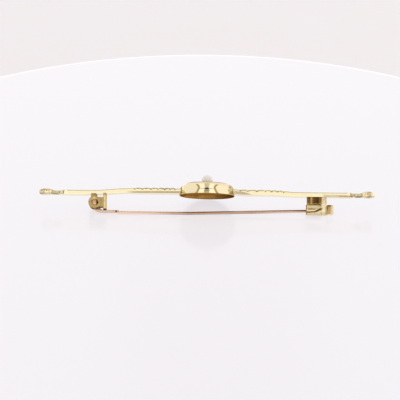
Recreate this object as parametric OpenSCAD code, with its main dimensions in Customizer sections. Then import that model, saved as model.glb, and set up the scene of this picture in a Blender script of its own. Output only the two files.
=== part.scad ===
// Bar brooch in gold: a slim bar with leaf-chased shoulders, an open-backed domed boss with a pearl,
// a riveted pin and a rolled safety catch. It lies tipped on a table, as it rests by itself.
// The brooch is drawn upright, with X along the bar, -Y towards the lower edge and +Z at the front,
// and rest() then leans the whole of it until it touches the table.

/* [Bar] */
// Length over the two button ends
bar_l = 64; // [60:0.5:70]
// Thickness of the bar
bar_t = 0.85; // [0.6:0.05:1]
// Width of the arms
arm_w = 2.3; // [1.8:0.1:2.8]
// Width of the shoulders, next to the boss
shoulder_w = 3; // [2.4:0.1:3.6]
// How far the arms lie below the middle of the bar
arm_drop = 0.42; // [0:0.02:0.8]
// How far the right shoulder lies below the left one
shoulder_sag = 0.18; // [0:0.01:0.3]
// Diameter of the button at each end
button_d = 2.7; // [2.2:0.1:3.2]
// Thickness of the button
button_t = 1.15; // [0.8:0.05:1.2]

/* [Leaves] */
// Leaf pairs on each shoulder
leaf_pairs = 6; // [3:1:7]
// Length of the leaf next to the boss
leaf_l = 0.95; // [0.8:0.05:1.2]
// Growth from one leaf to the next
leaf_growth = 1.13; // [1:0.01:1.15]
// Height of a leaf above the bar
leaf_h = 0.22; // [0.1:0.02:0.3]

/* [Boss] */
// Diameter of the boss at its open rim
rim_d = 10.5; // [9.5:0.1:11.5]
// Height of the crown above the rim
boss_h = 2.6; // [2:0.05:3]
// Depth of the rim below the middle of the bar
rim_z = -0.81; // [-1.2:0.01:-0.6]
// Thickness of the sheet
sheet_t = 0.4; // [0.3:0.05:0.5]
// Radius of the boss's shoulder
boss_round = 1.5; // [1:0.1:1.8]
// Angle at which the boss is soldered, out of line with the bar
boss_tip = 0.4; // [0:0.2:2]

/* [Pearl] */
// Diameter of the pearl
pearl_d = 2.08; // [1.8:0.02:2.2]
// Height of its centre above the middle of the bar
pearl_z = 2.22; // [2.2:0.02:2.4]

/* [Hinge] */
// Place of the hinge along the bar
hinge_x = -21.35; // [-23:0.05:-20]
// Depth of the rivet below the middle of the bar
hinge_z = -2.32; // [-2.4:0.02:-2.3]
// Diameter of the knuckles
knuckle_d = 2.4; // [2.2:0.05:2.45]
// Diameter of the rivet
rivet_d = 1; // [0.8:0.05:1.1]

/* [Pin] */
// Diameter of the stem at its heel
heel_d = 0.64; // [0.5:0.02:0.7]
// Diameter of the straight stem
stem_d = 0.56; // [0.4:0.02:0.56]
// Depth of the stem's level part below the middle of the bar
pin_z = -4.14; // [-4.16:0.01:-4.1]
// Upward bend of the stem
pin_bend = 1.64; // [1.5:0.02:1.7]
// Thickness of the flat heel
heel_t = 0.5; // [0.4:0.02:0.52]
// Width of the flat heel
heel_w = 0.9; // [0.7:0.05:0.95]

/* [Catch] */
// Start of the catch, along the bar
catch_x = 19.05; // [18:0.1:20]
// Depth of its centre below the middle of the bar
catch_z = -3.22; // [-3.24:0.01:-3.2]
// Outer diameter of the roll
catch_d = 2.26; // [2.2:0.02:2.3]
// Length of the open roll
roll_l = 2.65; // [2.2:0.05:3]
// Thickness of the end post
post_t = 1.1; // [0.8:0.05:1.3]
// Length of the thumb key
key_l = 1.25; // [1:0.05:1.5]
// Height of the thumb key
key_h = 1.9; // [1.4:0.05:2]

/* [Hidden] */
yellow_gold = "#e3c878";
rose_gold = "#d79e86";
lustre_white = "#d9d6cf";
cut = 20;

// The lean that brings the far rim of the boss and the roll of the catch down to the table together
rim_r = rim_d / 2;
catch_r = catch_d / 2;
rim_to_catch = rim_z - catch_z;
lean = atan2(rim_to_catch, rim_r) + asin(catch_r / norm([rim_r, rim_to_catch]));
lift = rim_r * sin(lean) - rim_z * cos(lean);

// Profile of the boss: a shallow crown, a round shoulder and a wall that flares to the rim
crown_z = rim_z + boss_h;
crown_r = 28;
wall_r = rim_r - 0.05;
shoulder_r = wall_r - boss_round;
shoulder_z = crown_z - crown_r + sqrt(pow(crown_r - boss_round, 2) - pow(shoulder_r, 2));
back_y = shoulder_r * cos(lean) + shoulder_z * sin(lean) + boss_round;
front_y = -rim_r * cos(lean) + rim_z * sin(lean);
middle_y = (back_y + front_y) / 2;

// Along the bar, from its middle
taper_start = 8;
sag_start = 4;
left_drop = [15, 22];
right_drop = [11.5, 18];
waist_x = bar_l / 2 - button_d - 0.55;
waist_t = 0.6;
waist_w = 1.3;
button_x = (bar_l - button_d) / 2;
button_z = -0.19;
curve_steps = 10;

leaf_start = 6.1;
leaf_margin = 0.12;
leaf_turn = 24;
leaf_ratio = 0.62;
leaf_edge = 0.07;
leaf_space = 1.03;

pearl_r = pearl_d / 2;
seat_gap = 0.03;
collar_r = 1.2;
collar_h = 0.1;
seat_z = crown_z - sheet_t - 0.5;
peg_r = 0.2;
peg_l = 0.8;

knuckle_r = knuckle_d / 2;
rivet_r = rivet_d / 2;
rivet_gap = 0.04;
hinge_half = (lift - (knuckle_r - hinge_z) * cos(lean)) / sin(lean);
pin_knuckle_w = 1;
side_gap = 0.06;
bevel = 0.12;
plate_x = hinge_x + 1.6;
plate_t = 0.6;
plate_w = 2.4;
plate_end = -3.62;
heel_gap = 0.08;
heel_end = -16;
heel_top = plate_end - heel_gap;
solder_x = -17.3;
solder_r = 0.15;

bend_x = -3.4;
taper_l = 9;
stem_l = 22.2;
point_l = 2.75;
point_r = 0.08;

roll_wall = 0.25;
rotor_gap = 0.04;
rotor_wall = 0.22;
rotor_r = catch_r - roll_wall - rotor_gap;
mouth_y = 0.4;
slot_w = 0.27;
post_x = catch_x + roll_l;
key_x = post_x + post_t + 0.06;
key_t = 0.45;

// Points of an arc, from one angle to another
function arc(centre, r, a0, a1, steps) = [
    for (i = [0 : steps])
        let (a = a0 + (a1 - a0) * i / steps)
            centre + r * [cos(a), sin(a)]
];

// A smooth step from 0 to 1
function ease(t) = let (u = max(0, min(1, t))) u * u * (3 - 2 * u);

// Height of the bar's middle line at x, from its left end (-) to its right end (+)
function bar_mid(x) =
    let (
        out = abs(x),
        sag = x > 0 ? shoulder_sag : 0,
        drop = x > 0 ? right_drop : left_drop
    )
    -sag * ease((out - sag_start) / (taper_start - sag_start))
    - (arm_drop - sag) * ease((out - drop[0]) / (drop[1] - drop[0]))
    + (arm_drop + button_z) * ease((out - waist_x) / (button_x - waist_x));

// Thickness and width of the bar, at a distance from its middle
function bar_thick(out) =
    bar_t + (waist_t - bar_t) * ease((out - waist_x + 1.5) / 1.5)
    + (button_t * 0.66 - waist_t) * ease((out - waist_x) / 1.4);
function bar_wide(out) =
    shoulder_w + (arm_w - shoulder_w) * ease((out - taper_start) / 8)
    + (waist_w - arm_w) * ease((out - waist_x + 2) / 2)
    + (button_d - 0.5 - waist_w) * ease((out - waist_x) / 1.8);

// Stations along each half of the bar, close together only where it bends or tapers
function curve_stations(from_x, to_x) =
    [for (i = [0 : curve_steps]) from_x + (to_x - from_x) * i / curve_steps];
end_stations = curve_stations(waist_x - 2, button_x);
left_half = concat(curve_stations(taper_start, left_drop[1]), end_stations);
right_half = concat(
    [for (i = [0 : 3]) sag_start + (taper_start - sag_start) * i / 4],
    curve_stations(taper_start, right_drop[1]),
    end_stations
);
last = len(left_half) - 1;
stations = concat([for (i = [last : -1 : 0]) -left_half[i]], right_half);

// Outline through the stations, from the heights or half widths above and below its middle line
module bar_outline(upper, lower) {
    polygon(concat(
        [for (i = [0 : len(stations) - 1]) [stations[i], upper[i]]],
        [for (i = [len(stations) - 1 : -1 : 0]) [stations[i], lower[i]]]
    ));
}

// A round button with a domed front
module button() {
    half_t = button_t / 2;
    button_r = button_d / 2;
    rim = 0.3;
    translate([button_x, 0, button_z])
        rotate_extrude($fn = 64)
            polygon(concat(
                [[0, -half_t]],
                arc([button_r - rim, rim - half_t], rim, -90, 0, 5),
                arc([button_r - rim, 0], rim, 0, 60, 4),
                [[button_r * 0.6, half_t * 0.84], [button_r * 0.3, half_t * 0.96], [0, half_t]]
            ));
}

module bar() {
    intersection() {
        rotate([90, 0, 0])
            linear_extrude(cut, center = true)
                bar_outline(
                    [for (x = stations) bar_mid(x) + bar_thick(abs(x)) / 2],
                    [for (x = stations) bar_mid(x) - bar_thick(abs(x)) / 2]
                );
        linear_extrude(cut, center = true)
            bar_outline(
                [for (x = stations) bar_wide(abs(x)) / 2],
                [for (x = stations) -bar_wide(abs(x)) / 2]
            );
    }
    button();
    mirror([1, 0, 0])
        button();
}

// A pointed leaf with a rounded back, lying along X from its stalk
module leaf(length, height) {
    width = length * leaf_ratio;
    side_r = (length * length / 4 + width * width / 4) / width;
    rise = height - leaf_edge;
    ridge_r = (width * width / 4 + rise * rise) / (2 * rise);
    translate([length / 2, 0, 0])
        intersection() {
            translate([0, side_r - width / 2, -bar_t / 4])
                cylinder(h = 1, r = side_r, $fn = 64);
            translate([0, width / 2 - side_r, -bar_t / 4])
                cylinder(h = 1, r = side_r, $fn = 64);
            translate([-length, 0, height - ridge_r])
                rotate([0, 90, 0])
                    cylinder(h = 2 * length, r = ridge_r, $fn = 48);
        }
}

// Place of the stalk of leaf i along the bar
function leaf_place(i) =
    i == 0 ? leaf_start : leaf_place(i - 1) + leaf_space * leaf_l * pow(leaf_growth, i - 1);

// The leaves of the left (-1) or right (1) shoulder, drawn towards +X
module leaf_spray(end) {
    for (i = [0 : leaf_pairs - 1])
        for (side = [-1, 1]) {
            x = leaf_place(i);
            length = leaf_l * pow(leaf_growth, i);
            stalk_y = bar_wide(x + length) / 2 - length * sin(leaf_turn) - leaf_margin;
            translate([x, side * stalk_y, bar_mid(end * (x + length / 2)) + bar_t / 2])
                rotate([0, 0, side * leaf_turn])
                    leaf(length, leaf_h);
        }
    tip_x = leaf_place(leaf_pairs);
    translate([tip_x - 0.5, 0, bar_mid(end * tip_x) + bar_t / 2])
        leaf(2 * leaf_l, leaf_h);
}

// Outline of the boss, made smaller by inset for its hollow
module boss_half(inset) {
    crown_turn = asin(shoulder_r / (crown_r - boss_round));
    polygon(concat(
        [[0, rim_z - (inset > 0 ? 1 : 0)]],
        [[rim_r - inset, rim_z - (inset > 0 ? 1 : 0)]],
        [[rim_r - inset, rim_z]],
        arc([shoulder_r, shoulder_z], boss_round - inset, 0, 90 - crown_turn, 14),
        [for (i = [4 : -1 : 1])
            let (a = crown_turn * i / 5)
                [(crown_r - inset) * sin(a), crown_z - crown_r + (crown_r - inset) * cos(a)]],
        [[0, crown_z - inset]]
    ));
}

module boss() {
    rotate([0, boss_tip, 0])
        difference() {
            rotate_extrude($fn = 128)
                boss_half(0);
            rotate_extrude($fn = 128)
                boss_half(sheet_t);
        }
}

// Seat of the pearl, a cup that is let into the crown with a low collar round the pearl
module pearl_seat() {
    translate([0, 0, seat_z])
        cylinder(h = crown_z + collar_h - seat_z, r = collar_r, $fn = 64);
}

module pearl_hollow() {
    translate([0, 0, pearl_z])
        sphere(r = pearl_r + seat_gap, $fn = 64);
}

module pearl_peg(r, from_z) {
    translate([0, 0, from_z])
        cylinder(h = pearl_z - pearl_r + peg_l - from_z, r = r, $fn = 32);
}

// One outer knuckle of the hinge, with its neck to the bar and its web to the stop plate
module outer_knuckle(side) {
    inner_y = pin_knuckle_w / 2 + side_gap;
    width = hinge_half - inner_y;
    neck_w = 1;
    translate([hinge_x, side * (inner_y + width / 2), hinge_z])
        rotate([90, 0, 0])
            cylinder(h = width, r = knuckle_r, center = true, $fn = 64);
    translate([hinge_x - neck_w / 2 - 0.2, side * (inner_y + 0.35) - 0.35, hinge_z + knuckle_r - 0.3])
        cube([neck_w, 0.7, -hinge_z - knuckle_r - arm_drop + 0.1]);
    translate([hinge_x + 0.6, side * (inner_y + 0.35) - 0.35, hinge_z - 0.85])
        cube([plate_x - hinge_x - 0.5, 0.7, 1.85]);
}

module stop_plate() {
    translate([plate_x, -plate_w / 2, plate_end])
        cube([plate_t, plate_w, -arm_drop - plate_end]);
}

module rivet_bore(r) {
    translate([hinge_x, 0, hinge_z])
        rotate([90, 0, 0])
            cylinder(h = cut, r = r, center = true, $fn = 48);
}

module rivet_sinks() {
    for (side = [-1, 1])
        translate([hinge_x, side * (hinge_half - bevel), hinge_z])
            rotate([-side * 90, 0, 0])
                cylinder(
                    h = 2 * bevel,
                    r1 = rivet_r + rivet_gap,
                    r2 = rivet_r + rivet_gap + 2 * bevel,
                    $fn = 48
                );
}

module hinge() {
    for (side = [-1, 1])
        outer_knuckle(side);
    stop_plate();
}

// The catch: a back plate from the bar, an end post, and a roll that is open below, with a slot in front
module catch_shell() {
    plate_h = -arm_drop - catch_z;
    translate([catch_x, catch_r - roll_wall, catch_z])
        cube([roll_l + post_t, roll_wall, plate_h]);
    translate([post_x, -catch_r, catch_z])
        cube([post_t, 2 * catch_r, plate_h]);
    translate([catch_x, 0, catch_z])
        rotate([0, 90, 0])
            cylinder(h = roll_l + post_t, r = catch_r, $fn = 64);
}

module catch_hollow() {
    translate([catch_x - 1, 0, catch_z])
        rotate([0, 90, 0])
            cylinder(h = roll_l + post_t + 2, r = rotor_r + rotor_gap, $fn = 64);
    mouth(catch_x - 1, roll_l + 1, mouth_y);
    front_slot();
}

// The mouth, below the axis of the catch, through which the pin swings out
module mouth(from_x, length, half_w) {
    translate([from_x, -half_w, catch_z - cut])
        cube([length, 2 * half_w, cut]);
}

// The slot in the front of the roll, nearly level at first and then rising to the end post
module front_slot() {
    edge = [[catch_x - 1, -0.44], [catch_x + 1.5, -0.34], [post_x - 0.15, 0.2], [post_x, 0.2]];
    rotate([90, 0, 0])
        translate([0, catch_z, mouth_y])
            linear_extrude(cut)
                polygon(concat(edge, [for (i = [3 : -1 : 0]) edge[i] - [0, slot_w]]));
}

module brooch_body() {
    color(yellow_gold)
        rest()
            difference() {
                union() {
                    bar();
                    leaf_spray(1);
                    mirror([1, 0, 0])
                        leaf_spray(-1);
                    boss();
                    pearl_seat();
                    hinge();
                    catch_shell();
                }
                pearl_hollow();
                rivet_bore(rivet_r + rivet_gap);
                rivet_sinks();
                catch_hollow();
            }
    color(yellow_gold)
        rest()
            pearl_peg(peg_r, seat_z);
}

module pearl() {
    color(lustre_white)
        rest()
            difference() {
                translate([0, 0, pearl_z])
                    sphere(d = pearl_d, $fn = 96);
                translate([0, 0, seat_gap])
                    pearl_peg(peg_r + seat_gap, pearl_z - 2 * pearl_r);
            }
}

module hinge_rivet() {
    dome = 0.1;
    half_l = hinge_half - bevel / 2;
    color(rose_gold)
        rest()
            translate([hinge_x, 0, hinge_z])
                rotate([90, 0, 0])
                    rotate_extrude($fn = 48)
                        polygon([
                            [0, -half_l],
                            [rivet_r * 0.5, -half_l + dome * 0.2],
                            [rivet_r * 0.85, -half_l + dome * 0.6],
                            [rivet_r, -half_l + dome * 1.4],
                            [rivet_r, half_l - dome * 1.4],
                            [rivet_r * 0.85, half_l - dome * 0.6],
                            [rivet_r * 0.5, half_l - dome * 0.2],
                            [0, half_l]
                        ]);
}

// The pin's knuckle, the tang that leaves it as a wedge and the flat heel, drawn from the side
module heel_side() {
    translate([hinge_x, hinge_z])
        circle(r = knuckle_r - 0.05, $fn = 64);
    polygon([
        [hinge_x - 0.3, hinge_z - 0.9],
        [hinge_x - 0.15, heel_top + 0.08],
        [hinge_x + 0.1, heel_top - 0.15],
        [hinge_x + 0.9, heel_top - heel_t + 0.06],
        [hinge_x + 1.5, heel_top - heel_t],
        [heel_end, heel_top - heel_t],
        [heel_end, heel_top],
        [hinge_x + 1.5, heel_top],
        [hinge_x + 0.95, heel_top + 0.35],
        [hinge_x + 0.75, hinge_z - 0.5]
    ]);
}

// The small hole across the heel, through which its solder ran
module solder_hole() {
    translate([solder_x, 0, heel_top - heel_t / 2])
        rotate([90, 0, 0])
            cylinder(h = cut, r = solder_r, center = true, $fn = 24);
}

// The half of space before (-1) or after (1) the plane that halves the bend of the stem
module bend_side(side) {
    translate([bend_x, 0, pin_z])
        rotate([0, -pin_bend / 2, 0])
            translate([side * cut, 0, 0])
                cube(2 * cut, center = true);
}

// A level run that tapers from the heel, and a rising run that ends in the point
module stem() {
    start_x = heel_end - 0.6;
    stem_r = stem_d / 2;
    intersection() {
        translate([start_x, 0, pin_z])
            rotate([0, 90, 0]) {
                cylinder(h = taper_l, r1 = heel_d / 2, r2 = stem_r, $fn = 48);
                translate([0, 0, taper_l])
                    cylinder(h = bend_x - start_x - taper_l + 1, r = stem_r, $fn = 48);
            }
        bend_side(-1);
    }
    intersection() {
        translate([bend_x, 0, pin_z])
            rotate([0, 90 - pin_bend, 0])
                translate([0, 0, -1])
                    cylinder(h = stem_l + 1, r = stem_r, $fn = 48);
        bend_side(1);
    }
    translate([bend_x, 0, pin_z])
        rotate([0, 90 - pin_bend, 0])
            translate([0, 0, stem_l])
                cylinder(h = point_l, r1 = stem_r, r2 = point_r, $fn = 48);
}

module pin() {
    color(rose_gold)
        rest()
            difference() {
                union() {
                    rotate([90, 0, 0])
                        linear_extrude(heel_w, center = true)
                            heel_side();
                    stem();
                }
                rivet_bore(rivet_r + rivet_gap);
                solder_hole();
            }
}

module catch_rotor() {
    collar_t = 0.12;
    lip_gap = 0.03;
    sleeve_x = catch_x - lip_gap;
    plug_x = post_x + 0.1;
    color(yellow_gold)
        rest()
            union() {
                difference() {
                    union() {
                        translate([sleeve_x, 0, catch_z])
                            rotate([0, 90, 0])
                                cylinder(h = key_x - sleeve_x, r = rotor_r, $fn = 64);
                        translate([sleeve_x - collar_t, 0, catch_z])
                            rotate([0, 90, 0])
                                cylinder(h = collar_t, r = rotor_r + 0.16, $fn = 64);
                    }
                    translate([sleeve_x - 1, 0, catch_z])
                        rotate([0, 90, 0])
                            cylinder(h = plug_x - sleeve_x + 1, r = rotor_r - rotor_wall, $fn = 64);
                    mouth(sleeve_x - 1, plug_x - sleeve_x + 1, mouth_y - rotor_gap);
                }
                thumb_key();
            }
}

// A flat key with round corners, in line with the front of the brooch
module thumb_key() {
    corner = 0.3;
    translate([key_x, key_t / 2, catch_z])
        rotate([90, 0, 0])
            linear_extrude(key_t)
                union() {
                    translate([0, -key_h / 2])
                        square([key_l - corner, key_h]);
                    translate([0, -key_h / 2 + corner])
                        square([key_l, key_h - 2 * corner]);
                    for (side = [-1, 1])
                        translate([key_l - corner, side * (key_h / 2 - corner)])
                            circle(r = corner, $fn = 32);
                }
}

module rest() {
    translate([0, -middle_y, lift])
        rotate([-lean, 0, 0])
            children();
}

brooch_body();
pearl();
hinge_rivet();
pin();
catch_rotor();
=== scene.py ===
import bmesh
import bpy
import math
from mathutils import Matrix, Vector


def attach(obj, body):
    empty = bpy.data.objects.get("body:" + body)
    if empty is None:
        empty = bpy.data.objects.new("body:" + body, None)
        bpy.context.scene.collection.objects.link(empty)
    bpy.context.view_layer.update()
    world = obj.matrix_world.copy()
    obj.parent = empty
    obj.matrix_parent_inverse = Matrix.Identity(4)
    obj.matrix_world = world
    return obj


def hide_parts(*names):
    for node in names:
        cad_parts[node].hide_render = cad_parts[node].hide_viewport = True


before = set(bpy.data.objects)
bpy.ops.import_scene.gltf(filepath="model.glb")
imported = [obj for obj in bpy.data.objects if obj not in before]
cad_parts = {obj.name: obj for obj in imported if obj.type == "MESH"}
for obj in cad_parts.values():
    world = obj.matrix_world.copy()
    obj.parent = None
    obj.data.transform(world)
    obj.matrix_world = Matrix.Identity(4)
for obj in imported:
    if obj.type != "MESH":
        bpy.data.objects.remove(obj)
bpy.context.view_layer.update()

# The brooch is built upright in millimetres, then laid down as it rests on the table
rest = {"lean": 35.9379, "lift": 3.73709, "middleY": -0.10625}  # degrees, then millimetres
restPose = (
    Matrix.Scale(0.001, 4)  # millimetres to metres
    @ Matrix.Translation((0, -rest["middleY"], rest["lift"]))
    @ Matrix.Rotation(-math.radians(rest["lean"]), 4, "X")
)
mergeGap = 0.0004  # points closer than this are one
upward = 0.2  # a face whose normal rises more than this counts as a top


def ease(t):
    t = max(0.0, min(1.0, t))
    return t * t * (3 - 2 * t)


def fade(x, start, run):  # from nought at start to one at start plus run, downwards if run is below nought
    return ease((x - start) / run)


def bump(x, centre, width):
    return math.exp(-(((x - centre) / width) ** 2))


def shade(x, mark):  # strength, start and run
    strength, start, run = mark
    return strength * fade(x, start, run)


def spot(x, mark):  # strength, middle and width
    strength, middle, width = mark
    return strength * bump(x, middle, width)


def arcPoints(centre, radius, start, end, steps):
    angles = [math.radians(start + (end - start) * i / steps) for i in range(steps + 1)]
    return [(centre[0] + radius * math.cos(a), centre[1] + radius * math.sin(a)) for a in angles]


def spinProfile(bm, points, centre, axis, steps=96, closed=False):
    verts = [bm.verts.new(p) for p in points]
    edges = [bm.edges.new(pair) for pair in zip(verts, verts[1:])]
    if closed:
        edges.append(bm.edges.new((verts[-1], verts[0])))
    bmesh.ops.spin(bm, geom=verts + edges, cent=centre, axis=axis, dvec=(0, 0, 0),
                   angle=2 * math.pi, steps=steps, use_merge=True)


def spinUpright(bm, outline, centre, steps=96):  # outline of radii and heights
    x, y, z = centre
    spinProfile(bm, [(x + r, y, z + up) for r, up in outline], (x, y, 0), (0, 0, 1), steps)


def vertsIn(geom):
    return [g for g in geom if isinstance(g, bmesh.types.BMVert)]


def extrudeFaces(bm, faces):
    return vertsIn(bmesh.ops.extrude_face_region(bm, geom=faces)["geom"])


# These three keep a steady order, so that every run makes the same mesh
def edgesOf(verts):
    return list(dict.fromkeys(e for v in verts for e in v.link_edges))


def facesOf(verts):
    return list(dict.fromkeys(f for v in verts for f in v.link_faces))


def cornersOf(faces):
    return list(dict.fromkeys(v for f in faces for v in f.verts))


def bevel(bm, geom, size, segments, affect="EDGES"):
    return bmesh.ops.bevel(bm, geom=geom, offset=size, offset_type="OFFSET", affect=affect,
                           segments=segments, profile=0.5, material=-1, clamp_overlap=True)


def soften(bm, verts, size, segments=3, angle=45):
    sharp = [e for e in edgesOf(verts) if len(e.link_faces) == 2
             and e.calc_face_angle(0) > math.radians(angle)]
    bevel(bm, sharp, size, segments)


def addBox(bm, low, high, edge, segments=3):
    size = [h - l for l, h in zip(low, high)]
    middle = [(l + h) / 2 for l, h in zip(low, high)]
    place = Matrix.Translation(middle) @ Matrix.Diagonal((*size, 1))
    verts = bmesh.ops.create_cube(bm, size=1, matrix=place)["verts"]
    bmesh.ops.recalc_face_normals(bm, faces=facesOf(verts))
    soften(bm, verts, edge, segments)


def addLoops(bm, before, axis, places):  # extra edge loops carry the patina and painted shade over a plain face
    for place in places:
        fresh = [f for f in bm.faces if f not in before]
        verts = cornersOf(fresh)
        middle, across = Vector(), Vector()
        middle[axis], across[axis] = place, 1
        bmesh.ops.bisect_plane(bm, geom=verts + edgesOf(verts) + fresh, plane_co=middle, plane_no=across)


def addObject(bm, name, material):
    mesh = bpy.data.meshes.new(name)
    bm.to_mesh(mesh)
    bm.free()
    mesh.materials.append(material)
    obj = bpy.data.objects.new(name, mesh)
    bpy.context.scene.collection.objects.link(obj)
    return obj


def finishPiece(bm, name, body, material, agedAndShaded, replaced, sharp=38):
    bmesh.ops.remove_doubles(bm, verts=bm.verts, dist=mergeGap)
    bmesh.ops.recalc_face_normals(bm, faces=bm.faces)
    layer = bm.verts.layers.float.new("patinaAndShade")
    bm.normal_update()
    for v in bm.verts:
        v[layer] = agedAndShaded(v.co, v.normal) if agedAndShaded else 0.0
    bmesh.ops.transform(bm, matrix=restPose, verts=bm.verts)
    obj = addObject(bm, name, material)
    obj.data.shade_smooth()
    obj.data.set_sharp_from_angle(angle=math.radians(sharp))
    even = obj.modifiers.new("evenNormals", "WEIGHTED_NORMAL")
    even.keep_sharp = True
    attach(obj, body)
    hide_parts(*replaced)
    print("piece", name, len(obj.data.polygons), "faces")


# Materials
def setInputs(tree, node, values):
    for name, value in values.items():
        if isinstance(value, bpy.types.NodeSocket):
            tree.links.new(value, node.inputs[name])
        else:
            node.inputs[name].default_value = value


def addNode(tree, kind, values, **settings):
    node = tree.nodes.new("ShaderNode" + kind)
    for setting, value in settings.items():
        setattr(node, setting, value)
    setInputs(tree, node, values)
    return node.outputs


def newMaterial(name):
    material = bpy.data.materials.new(name)
    material.use_nodes = True
    return material, material.node_tree, material.node_tree.nodes["Principled BSDF"]


wearAndShade = {"khaki": (0.42, 0.33, 0.17), "cleanEdge": (1.0, 0.97, 0.90, 1), "markedFrom": 0.4, "markedRough": 0.3,
        "breakUp": 0.5, "lines": (500, 9000, 9000), "linesDepth": 0.00003, "roughSpread": 0.3,
        "lighter": 1.03}


def metal(name, colour, amber, dark, roughness, grain, streak, mottle):
    material, tree, shader = newMaterial(name)
    place = addNode(tree, "TexCoord", {})["Object"]
    cloud = addNode(tree, "TexNoise", {"Vector": place, "Scale": mottle, "Detail": 4})["Fac"]
    along = addNode(tree, "Mapping", {"Vector": place, "Scale": wearAndShade["lines"]})["Vector"]
    lines = addNode(tree, "TexNoise", {"Vector": along, "Scale": 1, "Detail": 3})["Fac"]  # polishing lines
    previous = addNode(tree, "Mix", {
        "Factor": cloud,
        "A": (*[c * (1 - streak) for c in colour], 1),
        "B": (*[min(1, c * wearAndShade["lighter"]) for c in colour], 1),
    }, data_type="RGBA")["Result"]

    # The patina-and-shade attribute turns clean metal amber above nought and khaki below it, and then dark;
    # it holds real tarnish and painted shade, shadow and reflection alike
    wornAndShaded = addNode(tree, "Attribute", {}, attribute_name="patinaAndShade")["Fac"]
    uneven = addNode(tree, "Math", {0: cloud, 1: -wearAndShade["breakUp"], 2: 1 + wearAndShade["breakUp"] / 2},
                     operation="MULTIPLY_ADD")[0]
    coat = addNode(tree, "Math", {0: wornAndShaded, 1: uneven}, operation="MULTIPLY")[0]
    steps = ((0.0, 0.5, amber), (0.5, 1.0, dark), (0.0, -0.5, wearAndShade["khaki"]), (-0.5, -1.0, dark))
    for start, end, agedColour in steps:
        share = addNode(tree, "MapRange", {"Value": coat, "From Min": start, "From Max": end})["Result"]
        previous = addNode(tree, "Mix", {"Factor": share, "A": previous, "B": (*agedColour, 1)},
                           data_type="RGBA")["Result"]

    # A grazing view stays coloured only where the attribute marks the metal, with tarnish and painted shade
    # alike
    agedAndShaded = addNode(tree, "Math", {0: wornAndShaded}, operation="ABSOLUTE")[0]
    dull = addNode(tree, "MapRange", {"Value": agedAndShaded, "From Max": wearAndShade["markedFrom"]})["Result"]
    grazing = addNode(tree, "Mix", {"Factor": dull, "A": wearAndShade["cleanEdge"], "B": previous},
                      data_type="RGBA")["Result"]

    rough = addNode(tree, "MapRange", {
        "Value": lines,
        "To Min": roughness * (1 - wearAndShade["roughSpread"]),
        "To Max": roughness * (1 + wearAndShade["roughSpread"]),
    })["Result"]
    matt = addNode(tree, "Math", {0: agedAndShaded, 1: wearAndShade["markedRough"], 2: rough}, operation="MULTIPLY_ADD")[0]
    relief = addNode(tree, "Bump", {"Height": lines, "Strength": grain, "Distance": wearAndShade["linesDepth"]})
    setInputs(tree, shader, {"Base Color": previous, "Metallic": 1.0, "Specular Tint": grazing,
                             "Roughness": matt, "Normal": relief["Normal"]})
    return material


lustre = {"dim": (0.78, 0.78, 0.71, 1), "light": (0.88, 0.87, 0.82, 1), "cloud": 900, "depth": 0.00002}


def nacre(name):
    material, tree, shader = newMaterial(name)
    place = addNode(tree, "TexCoord", {})["Object"]
    cloud = addNode(tree, "TexNoise", {"Vector": place, "Scale": lustre["cloud"], "Detail": 3})["Fac"]
    tone = addNode(tree, "Mix", {"Factor": cloud, "A": lustre["dim"], "B": lustre["light"]},
                   data_type="RGBA")
    relief = addNode(tree, "Bump", {"Height": cloud, "Strength": 0.1, "Distance": lustre["depth"]})
    setInputs(tree, shader, {"Base Color": tone["Result"], "Normal": relief["Normal"], "Roughness": 0.28,
                             "Coat Weight": 0.4, "Coat Roughness": 0.12,
                             "Subsurface Weight": 0.08, "Subsurface Scale": 0.0006})
    return material


finishes = {  # clean metal, amber of patina and painted shade, darkest patina and painted shade, roughness, grain, streak and mottle
    "yellowGold": ((0.97, 0.86, 0.56), (0.52, 0.31, 0.085), (0.16, 0.08, 0.015), 0.14, 0.05, 0.0, 420),
    "bossGold": ((0.95, 0.82, 0.53), (0.47, 0.25, 0.055), (0.11, 0.058, 0.014), 0.08, 0.02, 0.0, 420),
    "hingeGold": ((0.96, 0.77, 0.38), (0.34, 0.21, 0.06), (0.05, 0.03, 0.008), 0.32, 0.2, 0.3, 2600),
    "catchGold": ((0.95, 0.83, 0.53), (0.46, 0.29, 0.10), (0.08, 0.036, 0.008), 0.34, 0.10, 0.15, 1500),
    "roseGold": ((0.88, 0.68, 0.54), (0.40, 0.22, 0.13), (0.12, 0.04, 0.02), 0.22, 0.05, 0.0, 420),
    "rivetGold": ((0.76, 0.47, 0.28), (0.32, 0.13, 0.05), (0.06, 0.018, 0.008), 0.32, 0.2, 0.3, 2600),
}
metals = {name: metal(name, *values) for name, values in finishes.items()}
print("materials made")


def finishBrooch(bm, name, gold, agedAndShaded, sharp=38):
    finishPiece(bm, name, "brooch", metals[gold], agedAndShaded, ["brooch_body"], sharp)


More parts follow.
